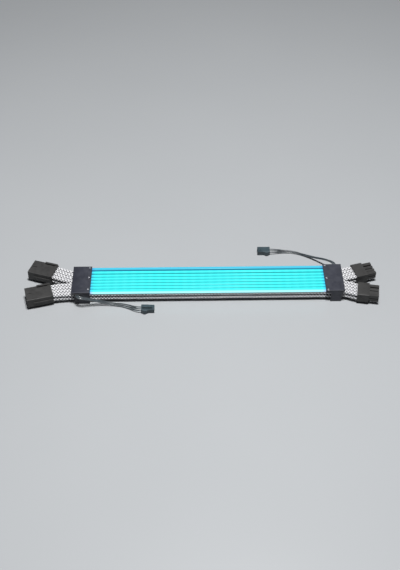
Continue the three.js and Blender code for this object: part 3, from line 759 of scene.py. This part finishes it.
# %% Wire routes
LAYER_HEIGHTS = {"lower": 4.8, "upper": 9.3}
ROW_HEIGHTS = {"lower": -CONTACT_PITCH / 2, "upper": CONTACT_PITCH / 2}
INSIDE = 2.2  # how far a sleeve's shrunk end reaches into its housing
BEHIND = 0.6  # how far behind a housing the sleeve is full size
BEND_PULL = 0.22  # how far a bend's handles reach, as a share of its length
LEVEL_PULL = 80.0  # how far the handles reach along the level run
STRAIGHT = 0.9  # how far the handles reach at a housing's mouth


def wire_route(column, layer):
    """A wire's route through its two connectors and both blocks, with Bezier handles."""
    end = "front" if column < 4 else "rear"
    block_y = MIDDLE.y + (column - 3.5) * WIRE_PITCH
    route = []
    for kind, block_x, inward in (("receptacle", left_low.x, 1), ("plug", right_high.x, -1)):
        name = f"{end}_{kind}"
        y, z = contact_y(name, column), ROW_HEIGHTS[layer]
        inner = PLACES[name] @ Vector((INSIDE, y, z))
        outer = PLACES[name] @ Vector((-BEHIND, y, z))
        way = (outer - inner).normalized()
        entry = Vector((block_x, block_y, LAYER_HEIGHTS[layer]))
        level = Vector((inward, 0, 0))
        pull = BEND_PULL * (entry - outer).length
        half = [
            (inner, inner - way, inner + way),
            (outer, outer - way * STRAIGHT, outer + way * pull),
            (entry, entry - level * pull, entry + level * LEVEL_PULL),
        ]
        if inward < 0:  # the second half is passed from the block to the connector
            half = [(knot, after, before) for knot, before, after in reversed(half)]
        route += half
    return route


def route_curve(name, knots):
    curve = bpy.data.curves.new(name, "CURVE")
    curve.dimensions = "3D"
    curve.twist_mode = "Z_UP"
    curve.resolution_u = 24
    spline = curve.splines.new("BEZIER")
    spline.bezier_points.add(len(knots) - 1)
    for point, (place, before, after) in zip(spline.bezier_points, knots):
        point.handle_left_type = point.handle_right_type = "FREE"
        point.co, point.handle_left, point.handle_right = place, before, after
    return new_object(name, curve), spline.calc_length()


# %% [markdown]
# The sleeve's ends are shrunk to enter the housings, so its radius narrows over the last
# few millimetres before the Curve modifier bends it.

# %% Make the sixteen sleeves
NECK = 1.6 / SLEEVE_RADIUS  # the shrunk end's share of the full radius
NECK_LENGTH = BEHIND + 1.6  # over which the sleeve widens


def sleeve(column, layer):
    name = f"{layer}_sleeve_{column + 1}"
    path, length = route_curve(name + "_route", wire_route(column, layer))
    periods = round(length / BRAID_PERIOD)
    piece = again(tile)
    stretch = length / (periods * BRAID_PERIOD)
    piece.data.transform(Matrix.Diagonal((stretch, 1, 1, 1)))
    repeat(
        piece, periods, length / periods,
        offset_u=1.0, use_merge_vertices=True, merge_threshold=0.01,
    )
    points = np.empty(len(piece.data.vertices) * 3, dtype=np.float32)
    piece.data.vertices.foreach_get("co", points)
    points = points.reshape(-1, 3)
    from_end = np.minimum(points[:, 0], length - points[:, 0])
    share = np.clip((from_end - INSIDE) / NECK_LENGTH, 0, 1)
    points[:, 1:] *= (NECK + (1 - NECK) * share * share * (3 - 2 * share))[:, None]
    piece.data.vertices.foreach_set("co", points.ravel())
    piece.data.update()
    finish_modifier(piece, "CURVE", object=path, deform_axis="POS_X")
    with editing(piece):
        bpy.ops.mesh.fill_holes(sides=0)
    bpy.ops.object.shade_smooth()
    bpy.data.objects.remove(path)
    settle(piece, name, TO_METRES, BRAID, replaces=[f"{layer}_wire_{column + 1}"])
    return piece, length


for layer in LAYER_HEIGHTS:
    for column in range(8):
        piece, length = sleeve(column, layer)
    print(piece.name, "is", round(length, 1), "mm long with", len(piece.data.polygons), "faces")
done_with(tile)

# %% [markdown]
# ## Terminals
# Each wire ends in a crimped brass terminal that clicks into its housing. The receptacles
# hold male ones: a crimp, a folded box and a round pin with a tapered nose. The plugs
# hold female ones, whose box is open in front and has a folded spring inside. Both are
# modelled once, from their housing's rear face along X, and copied to every contact.

# %% Terminals
def contacts():
    """Each contact of a connector: its layer, its number in the row, and its Y and Z."""
    for layer, z in ROW_HEIGHTS.items():
        for way in range(4):
            yield layer, way, (way - 1.5) * CONTACT_PITCH, z


def crimp(name):
    wings = block(name, (2.6, 5.6), (-0.9, 0.9), (-0.9, 0.9))
    cut(wings, block("fold", (2.0, 6.0), (-0.12, 0.12), (0.35, 1.2)))
    add(wings, block("neck", (5.4, 6.8), (-0.6, 0.6), (-0.85, 0.2)))
    return wings


def male_terminal():
    body = crimp("male_terminal")
    add(body, block("box", (6.6, 13.6), (-1.1, 1.1), (-1.1, 1.1)))
    add(body, rod("pin", (13.2, 0, 0), (21.4, 0, 0), 0.57))
    add(body, rod("nose", (21.3, 0, 0), (22.6, 0, 0), 0.565, 0.3))
    cut(body, block("seam", (6.0, 14.0), (-0.08, 0.08), (0.8, 1.5)))
    round_edges(body, 0.08)
    return body


def female_terminal():
    body = crimp("female_terminal")
    add(body, block("box", (6.6, 18.3), (-1.1, 1.1), (-1.1, 1.1)))
    cut(body, block("mouth", (11.0, 19.0), (-0.72, 0.72), (-0.72, 0.72)))
    add(body, block("spring", (11.5, 17.6), (-0.5, 0.5), (-0.75, -0.45)))
    cut(body, block("seam", (6.0, 19.0), (-0.08, 0.08), (0.6, 1.5)))
    round_edges(body, 0.06)
    return body


for kind, terminal in (("receptacle", male_terminal()), ("plug", female_terminal())):
    for end in ("front", "rear"):
        name = f"{end}_{kind}"
        for layer, way, y, z in contacts():
            place = TO_METRES @ PLACES[name] @ Matrix.Translation((0, y, z))
            label = f"{name}_terminal_{layer}_{way + 1}"
            settle(again(terminal), label, place, TIN)
    print(kind, "terminal:", len(terminal.data.polygons), "faces, copied 16 times")
    done_with(terminal)

# %% [markdown]
# ## Shrouded receptacle
# The receptacle is a smooth nylon block with eight deep cells in front. Some cells have
# two cut corners, so that only the right plug fits. Behind, each wire enters through a
# square hole. Outside it has a rib along each side, a long ear on top at one edge, and
# underneath the ramp that a plug's latch snaps over. It is built from blocks that are
# joined and cut, and its edges are rounded at the end. The holes and bars on the contacts
# come first, because the plug uses them too.

# %% Contact cells
HALF_WIDTH, HALF_HEIGHT = 9.0, 4.8
CAVITY, THROAT, CELL = 3.6, 2.6, 3.75  # sides of the square holes, from rear to front
KEYED = {"lower": (True, False, True, False), "upper": (False, True, True, False)}
KEY_CHAMFER = 0.8
MOULD_RADIUS = 0.12


def keyed_bar(name, x, y, z, size, keyed):
    """A square bar on a contact; a keyed one loses its two outer corners."""
    bar = square_on(name, x, y, z, size)
    if keyed:
        outer = math.copysign(1, z)
        with editing(bar):
            select_edges(
                bar, lambda middle, way: abs(way.x) > 0.9 and (middle.z - z) * outer > 0
            )
            bpy.ops.mesh.bevel(offset=KEY_CHAMFER, segments=1, affect="EDGES")
    return bar


def square_holes(x, size):
    """A square hole on every contact."""
    return [square_on("hole", x, y, z, size) for _, _, y, z in contacts()]


def place_housings(kind, shell):
    """Puts a copy of a finished housing at the front and at the rear."""
    print(kind + ":", len(shell.data.polygons), "faces")
    for end in ("front", "rear"):
        name = f"{end}_{kind}"
        settle(
            again(shell), name + "_shell", TO_METRES @ PLACES[name], HOUSING_PLASTIC,
            replaces=[name + "_housing"],
        )
    done_with(shell)


# %% [markdown]
# The outer shape is built first and the holes are cut last, so that nothing added later
# closes a hole.

# %% Receptacle housing
def rounded_block(name, x, half_width, half_height, radius):
    """A block with its four long edges rounded."""
    obj = block(name, x, (-half_width, half_width), (-half_height, half_height))
    with editing(obj):
        select_edges(obj, lambda middle, way: abs(way.x) > 0.9)
        bpy.ops.mesh.bevel(offset=radius, segments=3, affect="EDGES")
    return obj


def receptacle():
    top = HALF_HEIGHT
    body = rounded_block("receptacle", (0, RECEPTACLE_LENGTH), HALF_WIDTH, HALF_HEIGHT, 0.5)
    for side in (-1, 1):
        y = sorted((side * (HALF_WIDTH - 0.4), side * (HALF_WIDTH + 0.7)))
        add(body, block("rib", (1.5, 19), y, (-0.7, 0.7)))
    add(body, block("ear", (0.6, 13.4), (-9, -6.9), (top - 0.5, top + 1)))
    ramp = block("ramp", (17.6, 20.8), (-2.6, 2.6), (-6.3, 0.5 - HALF_HEIGHT))
    with editing(ramp):
        select_edges(ramp, lambda middle, way: middle.x > 20 and middle.z < -6)
        bpy.ops.transform.translate(value=(-1.9, 0, 0))
    add(body, ramp)
    # A deep groove parts the ear from the top, and a short one opens at the mouth.
    cut(body, block("ear_groove", (3.2, 13.0), (-6.95, -6.2), (top - 0.6, top + 2)))
    cut(body, block("mouth_groove", (19.4, 26), (-0.35, 0.35), (top - 0.5, top + 1)))
    # The half behind the shroud is shallower, and its rear edge has a low rim.
    cut(body, block("undercut", (-1, 12.4), (-10, 10), (-6, 0.45 - HALF_HEIGHT)))
    add(body, block("rim", (0, 1.1), (-6.1, 8.9), (top - 0.4, top + 0.25)))
    cut(body, *square_holes((-1, 12.5), CAVITY))
    cut(body, *square_holes((12, 14.6), THROAT))
    cells = [
        keyed_bar("cell", (14.1, 26), y, z, CELL, KEYED[layer][way])
        for layer, way, y, z in contacts()
    ]
    cut(body, *cells)
    round_edges(body, MOULD_RADIUS)
    return body


place_housings("receptacle", receptacle())

# %% [markdown]
# ## Slotted plug
# The plug's rear half is a smooth block like the receptacle's. Its front half is eight
# separate towers, one round each terminal, so its top shows three slots. The towers are
# keyed to match the cells. A small step divides the two halves.

# %% Plug housing
SHOULDER = 11.2  # where the smooth half ends
TOWER, MOUTH = 3.35, 1.7  # sides of a tower and of its opening


def plug():
    body = rounded_block("plug", (0, SHOULDER), HALF_WIDTH, HALF_HEIGHT, 0.5)
    add(body, block("root", (10.7, 11.9), (-7.97, 7.97), (-3.3, 3.3)))
    add(body, block("fulcrum", (9.4, 10.6), (-2, 2), (-5.35, -4.5)))
    for layer, way, y, z in contacts():
        add(body, keyed_bar("tower", (10.7, PLUG_LENGTH), y, z, TOWER, KEYED[layer][way]))
    cut(body, *square_holes((-1, 10.8), CAVITY))
    cut(body, *square_holes((10.2, 19.3), THROAT))
    cut(body, *square_holes((19, 21), MOUTH))
    # Grip lines pressed into both sides.
    for side in (-1, 1):
        y = sorted((side * (HALF_WIDTH - 0.25), side * (HALF_WIDTH + 1)))
        cut(body, *[block("grip", (x, x + 0.6), y, (-3, 3)) for x in (1.6, 3.0, 4.4, 5.8)])
    round_edges(body, MOULD_RADIUS)
    return body


place_housings("plug", plug())

# %% [markdown]
# ## Parts whose CAD shape is already right
# The block halves, the latches, the grommets and the small signal connectors have their
# real shape in the CAD, but with knife-sharp edges. Each gets a copy whose loose
# triangles are merged, whose flat regions become single faces, and whose edges are
# rounded as a mould rounds them. The sharp node is then hidden behind its copy.

# %% Round the CAD's edges
def softened(node, width, material, body="cable"):
    """A copy of a CAD node with rounded edges, in the node's place."""
    piece = again(frame["nodes"][node])
    piece.parent = None
    piece.matrix_world = Matrix.Identity(4)
    piece.data.transform(Matrix.Scale(1 / MM, 4))
    round_edges(piece, width)
    return settle(piece, node + "_moulded", TO_METRES, material, body, [node])


for side in ("left", "right"):
    softened(f"{side}_block_base", 0.15, SHELL_PLASTIC)
    softened(f"{side}_block_yoke", 0.1, SHELL_PLASTIC)
    softened(f"{side}_lead_grommet", 0.15, RUBBER)
for latch in ("front_plug_latch", "rear_plug_latch"):
    softened(latch, 0.15, HOUSING_PLASTIC, latch)
socket_latch = softened(
    "input_socket_latch", 0.1, SIGNAL_PLASTIC, "input_socket_latch"
)
socket_body = softened("input_socket_body", 0.12, SIGNAL_PLASTIC)
plug_body = softened("output_plug_body", 0.12, SIGNAL_PLASTIC)

# %% [markdown]
# The small signal connectors hold three contacts each: sprung tubes behind the socket's
# square mouths, and bare pins inside the plug's shroud. Each set is one joined piece.

# %% Signal contacts
SIGNAL_SPOTS = {"input": (-64.2, -29.0, 1), "output": (64.2, 52.8, -1)}
SIGNAL_LEVEL = 2.6  # height of the contacts' middle


def signal_contacts(lead):
    """Three contacts in a signal connector, which points along X or against it."""
    x, y, way = SIGNAL_SPOTS[lead]
    pieces = []
    for number in (-1, 0, 1):
        across = number * CONNECTOR_GAP
        if lead == "input":
            contact = block("contact", (5.4, 12.0), (across - 0.4, across + 0.4), (2.2, 3.0))
            cut(contact, block("bore", (6.4, 13), (across - 0.26, across + 0.26), (2.34, 2.86)))
        else:
            start, end = (5.4, across, SIGNAL_LEVEL), (11.4, across, SIGNAL_LEVEL)
            contact = rod("contact", start, end, 0.3, sides=12)
        pieces.append(contact)
    trio = joined(pieces)
    round_edges(trio, 0.04, 1, 50)
    turn = Matrix.Diagonal((way, way, 1, 1))
    place = TO_METRES @ Matrix.Translation(MIDDLE + Vector((x, y, 0))) @ turn
    return settle(trio, f"{lead}_signal_contacts", place, TIN)


socket_contacts = signal_contacts("input")
plug_contacts = signal_contacts("output")

# %% [markdown]

# %% [markdown]
# ## End-block lids
# A lid is a plain satin cover, slightly rounded all round, that overhangs its clamp. It
# has a lip that hangs down over the outer end and three counterbored holes along its
# inner edge. Each lid is built in its own CAD box and cut where its own screws are.

# %% Lids
SCREW_HOLE, SCREW_SINK = 0.62, 1.15  # radius of a hole and of its counterbore
SINK_DEPTH = 0.65
SCREW_ROWS = ("front", "middle", "rear")
LID_BOTTOM = 13.3
LIP_Z, LIP_THICKNESS = (12, 13.6), 2.4


def lid(side):
    low, high = node_box(f"{side}_block_lid")
    outer, outward = (high.x, 1) if side == "right" else (low.x, -1)
    plate = block(f"{side}_lid", (low.x, high.x), (low.y, high.y), (LID_BOTTOM, high.z))
    with editing(plate):
        select_edges(plate, lambda middle, way: middle.z > 14 and abs(way.x) > 0.9)
        bpy.ops.mesh.bevel(offset=0.35, segments=4, affect="EDGES")
    lip_x = sorted((outer, outer - outward * LIP_THICKNESS))
    add(plate, block("lip", lip_x, (low.y + 0.5, high.y - 0.5), LIP_Z))
    for row in SCREW_ROWS:
        x, y, top = node_middle(f"{side}_lid_screw_{row}", high.z)
        cut(plate, rod("hole", (x, y, 12.5), (x, y, 14.2), SCREW_HOLE))
        cut(plate, rod("sink", (x, y, top - SINK_DEPTH), (x, y, top + 1), SCREW_SINK, sides=32))
    round_edges(plate, 0.16, 3)
    return settle(
        plate, f"{side}_lid", TO_METRES, SHELL_PLASTIC,
        replaces=[f"{side}_block_lid"],
    )


for side in ("left", "right"):
    piece = lid(side)
    print(piece.name, len(piece.data.polygons), "faces")

# %% [markdown]
# ## Screws
# The lid screws are tiny pan heads with a cross recess. One is turned from a cylinder,
# its head's rim is rounded, and two crossed blades cut the recess. Each copy is turned
# by a different amount, as driven screws are.

# %% Screws
def screw():
    head = rod("screw", (0, 0, -SINK_DEPTH), (0, 0, 0), 1.1, sides=32)
    with editing(head):
        select_edges(head, lambda middle, way: middle.z > -0.01 and abs(way.z) < 0.5)
        bpy.ops.mesh.bevel(offset=0.35, segments=4, affect="EDGES")
    add(head, rod("shank", (0, 0, -3.6), (0, 0, -0.5), 0.5, sides=16))
    for half_x, half_y in ((0.62, 0.13), (0.13, 0.62)):
        cut(head, block("blade", (-half_x, half_x), (-half_y, half_y), (-0.36, 1)))
    round_edges(head, 0.03)
    return head


pattern = screw()
for number, side in enumerate(("left", "right")):
    for turn, row in enumerate(SCREW_ROWS):
        node = f"{side}_lid_screw_{row}"
        spot = node_middle(node, node_box(node)[1].z)
        angle = math.radians(17 + 37 * turn + 64 * number)
        place = TO_METRES @ Matrix.Translation(spot) @ Matrix.Rotation(angle, 4, "Z")
        settle(again(pattern), f"{side}_screw_{row}", place, ZINC, replaces=[node])
print("screw:", len(pattern.data.polygons), "faces, copied 6 times")
done_with(pattern)

# %% [markdown]
# ## Light guides
# A guide is a frosted silicone bar with a rounded crown, hollow underneath where the
# lamps sit. A block is given a rounded top by a wide bevel, its underside is inset and
# pushed up for the hollow, a slot lets the light strip pass through its ends, and a flat
# tongue at each end slides into the end blocks.

# %% Light guides
LIT_HALF, GUIDE_HALF = 113.0, 1.975  # half of a bar's length and width
GUIDE_BOTTOM, GUIDE_TOP = 11.4, 14.4
CROWN_RADIUS = 1.25
GUIDE_WALL, HOLLOW_DEPTH = 0.475, 1.4


def light_guide():
    length, width = (-LIT_HALF, LIT_HALF), (-GUIDE_HALF, GUIDE_HALF)
    bar = block("light_guide", length, width, (GUIDE_BOTTOM, GUIDE_TOP))
    with editing(bar):
        select_edges(bar, lambda middle, way: middle.z > 14 and abs(way.x) > 0.9)
        bpy.ops.mesh.bevel(offset=CROWN_RADIUS, segments=7, affect="EDGES")
        select_faces(bar, lambda face: face.normal.z < -0.9)
        bpy.ops.mesh.inset(thickness=GUIDE_WALL, depth=0)
        bpy.ops.transform.translate(value=(0, 0, HOLLOW_DEPTH))
    cut(bar, block("strip_slot", (-114, 114), (-1.5, 1.5), (11, 12.3)))
    for side in (-1, 1):
        x = sorted((side * 112.6, side * 118.8))
        add(bar, block("tongue", x, (-1.2, 1.2), (12.3, 13.1)))
    round_edges(bar, 0.1, 2, 50)
    return bar


def guide_places():
    """Each guide's number, node and place."""
    for number in range(1, 9):
        node = f"light_guide_{number}"
        yield number, node, TO_METRES @ Matrix.Translation(node_middle(node, 0))


pattern = light_guide()
print("light guide:", len(pattern.data.polygons), "faces")
for number, node, place in guide_places():
    settle(again(pattern), f"guide_bar_{number}", place, GLOW, replaces=[node])
done_with(pattern)

# %% [markdown]
# ## Boards
# The light strip and the two boards inside the blocks keep their CAD solids and get
# their material. A row of square lamps sits on the strip inside each guide: one lamp,
# repeated along the row with an Array modifier.

# %% Lamps on the strip
LAMPS = 27  # in each row
STRIP_TOP = 12.05


def lamp_row():
    pitch = LAMP_PITCH / MM
    first = -(LAMPS - 1) / 2 * pitch
    row = block("lamps", (first - 1, first + 1), (-0.8, 0.8), (STRIP_TOP, STRIP_TOP + 0.55))
    with editing(row):
        select_faces(row, lambda face: face.normal.z > 0.9)
        bpy.ops.mesh.inset(thickness=0.2, depth=-0.08)
    repeat(row, LAMPS, pitch)
    return row


pattern = lamp_row()
for number, _, place in guide_places():
    settle(again(pattern), f"lamp_row_{number}", place, SOLDER_MASK)
print("lamps:", LAMPS, "in each of 8 rows")
done_with(pattern)

# %% [markdown]
# The boards have no visual piece of their own, so the CAD nodes take the white mask.

# %% Finish the boards
for node in ("led_strip", "left_end_board", "right_end_board"):
    board = frame["nodes"][node]
    board.data.materials.clear()
    board.data.materials.append(SOLDER_MASK)

# %% [markdown]
# ## Floor and light
# The floor is a wide pale sheet with a soft sheen, just below the object.

# %% Floor
FLOOR_SIZE = 6.0
FLOOR_GAP = 0.00005  # below the object, so that no faces fight

floor = basic_shape(
    "floor", bpy.ops.mesh.primitive_plane_add, size=FLOOR_SIZE, location=(0, 0, -FLOOR_GAP)
)
floor_recipe = Recipe("pale_floor", (0.3, 0.31, 0.32), 0.3)
tone = floor_recipe.blend(floor_recipe.noise(3.0), (0.285, 0.295, 0.305), (0.315, 0.325, 0.335))
floor.data.materials.append(floor_recipe.use(color=tone))

# %% [markdown]
# One soft lamp hangs over the object, a little towards the camera, and a pale surround
# fills the shadows.

# %% Lamp and surround
lamp_data = bpy.data.lights.new("overhead", "AREA")
lamp_data.size = 0.25
lamp_data.energy = 34.0
lamp = new_object("overhead", lamp_data)
lamp.location = (0.05, -0.18, 1.34)
lamp.rotation_euler = lamp.location.to_track_quat("Z", "Y").to_euler()

world = bpy.data.worlds.new("studio")
world.use_nodes = True
background = world.node_tree.nodes["Background"].inputs
background["Color"].default_value = (0.8, 0.84, 0.9, 1)
background["Strength"].default_value = 0.1
bpy.context.scene.world = world
bpy.context.scene.view_settings.view_transform = "Standard"
